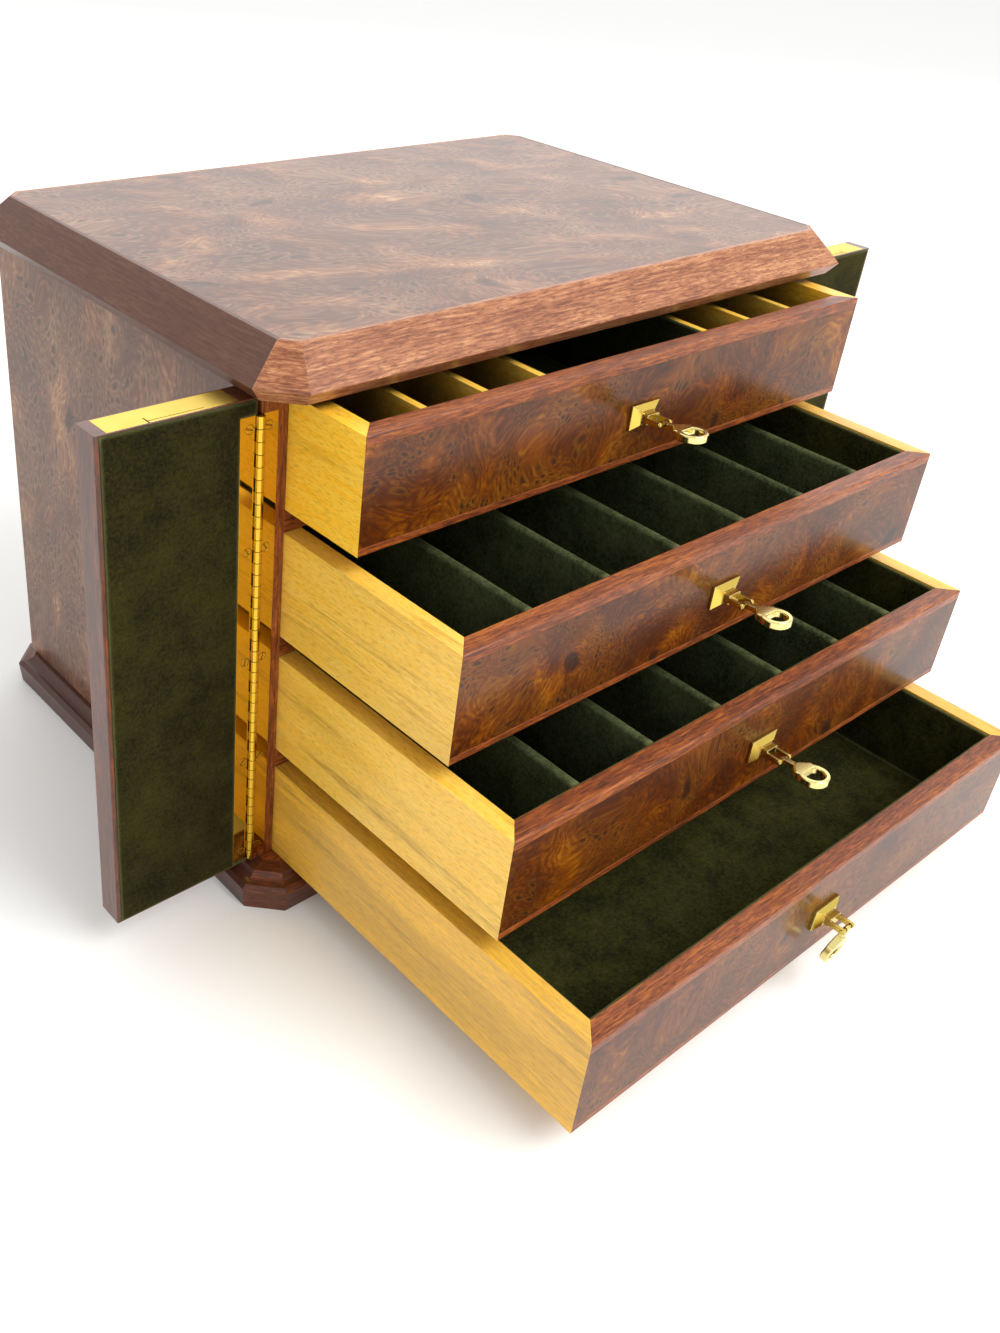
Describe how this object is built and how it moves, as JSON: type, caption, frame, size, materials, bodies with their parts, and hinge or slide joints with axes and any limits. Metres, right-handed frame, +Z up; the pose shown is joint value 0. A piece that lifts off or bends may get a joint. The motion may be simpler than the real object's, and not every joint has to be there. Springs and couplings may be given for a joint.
{
  "type": "jewellery chest",
  "caption": "Burl veneered jewellery chest with pull-out velvet lined drawers, fold-back side doors on piano hinges and key shaped brass pulls.",
  "frame": {"origin": "middle of the closed chest's footprint, on the surface it stands on", "axes": "+X to the right, +Y to the back, +Z up; drawers pull out along -Y"},
  "size_m": [0.548, 0.4913, 0.3085],
  "materials": {
    "burl_veneer": "high gloss lacquered burl veneer",
    "mahogany": "high gloss lacquered mahogany",
    "yellow_wood": "satin lacquered pale yellow hardwood",
    "velvet": "dark green velvet",
    "polished_brass": "polished brass"
  },
  "bodies": {
    "cabinet": {"lid_panel": "burl_veneer", "lid_moulding": "mahogany", "top_board": "mahogany", "side_panel_left": "burl_veneer", "side_panel_right": "burl_veneer", "back_panel": "burl_veneer", "base_board": "mahogany", "plinth_moulding": "mahogany", "stiles": "mahogany", "drawer_rails": "mahogany", "drawer_runners": "mahogany", "cabinet_hinge_leaf_left": "polished_brass", "cabinet_hinge_leaf_right": "polished_brass", "hinge_pins": "polished_brass", "cabinet_hinge_screws": "polished_brass"},
    "door_left": {"door_left_board": "mahogany", "door_left_velvet_panel": "velvet", "door_left_cap_plate": "polished_brass", "door_left_hinge_leaf": "polished_brass", "door_left_hinge_screws": "polished_brass"},
    "door_right": {"door_right_board": "mahogany", "door_right_velvet_panel": "velvet", "door_right_cap_plate": "polished_brass", "door_right_hinge_leaf": "polished_brass", "door_right_hinge_screws": "polished_brass"},
    "drawer_1": {"drawer_1_box": "yellow_wood", "drawer_1_bottom": "yellow_wood", "drawer_1_front": "burl_veneer", "drawer_1_lipping": "mahogany", "drawer_1_lining": "velvet", "drawer_1_dividers": "yellow_wood", "drawer_1_key_pull": "polished_brass", "drawer_1_key_fixings": "polished_brass"},
    "drawer_1_bow": {"drawer_1_key_bow": "polished_brass"},
    "drawer_2": {"drawer_2_box": "yellow_wood", "drawer_2_bottom": "yellow_wood", "drawer_2_front": "burl_veneer", "drawer_2_lipping": "mahogany", "drawer_2_lining": "velvet", "drawer_2_dividers": "velvet", "drawer_2_key_pull": "polished_brass", "drawer_2_key_fixings": "polished_brass"},
    "drawer_2_bow": {"drawer_2_key_bow": "polished_brass"},
    "drawer_3": {"drawer_3_box": "yellow_wood", "drawer_3_bottom": "yellow_wood", "drawer_3_front": "burl_veneer", "drawer_3_lipping": "mahogany", "drawer_3_lining": "velvet", "drawer_3_dividers": "velvet", "drawer_3_key_pull": "polished_brass", "drawer_3_key_fixings": "polished_brass"},
    "drawer_3_bow": {"drawer_3_key_bow": "polished_brass"},
    "drawer_4": {"drawer_4_box": "yellow_wood", "drawer_4_bottom": "yellow_wood", "drawer_4_front": "burl_veneer", "drawer_4_lipping": "mahogany", "drawer_4_lining": "velvet", "drawer_4_key_pull": "polished_brass", "drawer_4_key_fixings": "polished_brass"},
    "drawer_4_bow": {"drawer_4_key_bow": "polished_brass"}
  },
  "joints": [
    {"name": "door_left_hinge", "type": "hinge", "parent": "cabinet", "child": "door_left", "pos_m": [-0.1954, -0.1153, 0.149], "axis": [0, 0, 1], "range_deg": [0, 98]},
    {"name": "door_right_hinge", "type": "hinge", "parent": "cabinet", "child": "door_right", "pos_m": [0.1954, -0.1153, 0.149], "axis": [0, 0, -1], "range_deg": [0, 98]},
    {"name": "drawer_1_slide", "type": "slide", "parent": "cabinet", "child": "drawer_1", "axis": [0, -1, 0], "range_m": [-0.0517, 0.1703]},
    {"name": "drawer_1_bow_fold", "type": "hinge", "parent": "drawer_1", "child": "drawer_1_bow", "pos_m": [0, -0.1802, 0.25115], "axis": [1, 0, 0], "range_deg": [-87, 108]},
    {"name": "drawer_2_slide", "type": "slide", "parent": "cabinet", "child": "drawer_2", "axis": [0, -1, 0], "range_m": [-0.11961, 0.10239]},
    {"name": "drawer_2_bow_fold", "type": "hinge", "parent": "drawer_2", "child": "drawer_2_bow", "pos_m": [0, -0.24812, 0.18265], "axis": [1, 0, 0], "range_deg": [-87, 108]},
    {"name": "drawer_3_slide", "type": "slide", "parent": "cabinet", "child": "drawer_3", "axis": [0, -1, 0], "range_m": [-0.16121, 0.06079]},
    {"name": "drawer_3_bow_fold", "type": "hinge", "parent": "drawer_3", "child": "drawer_3_bow", "pos_m": [0, -0.28971, 0.11415], "axis": [1, 0, 0], "range_deg": [-87, 108]},
    {"name": "drawer_4_slide", "type": "slide", "parent": "cabinet", "child": "drawer_4", "axis": [0, -1, 0], "range_m": [-0.21855, 0.00345]},
    {"name": "drawer_4_bow_fold", "type": "hinge", "parent": "drawer_4", "child": "drawer_4_bow", "pos_m": [0, -0.34705, 0.04565], "axis": [1, 0, 0], "range_deg": [-190, 5]}
  ]
}
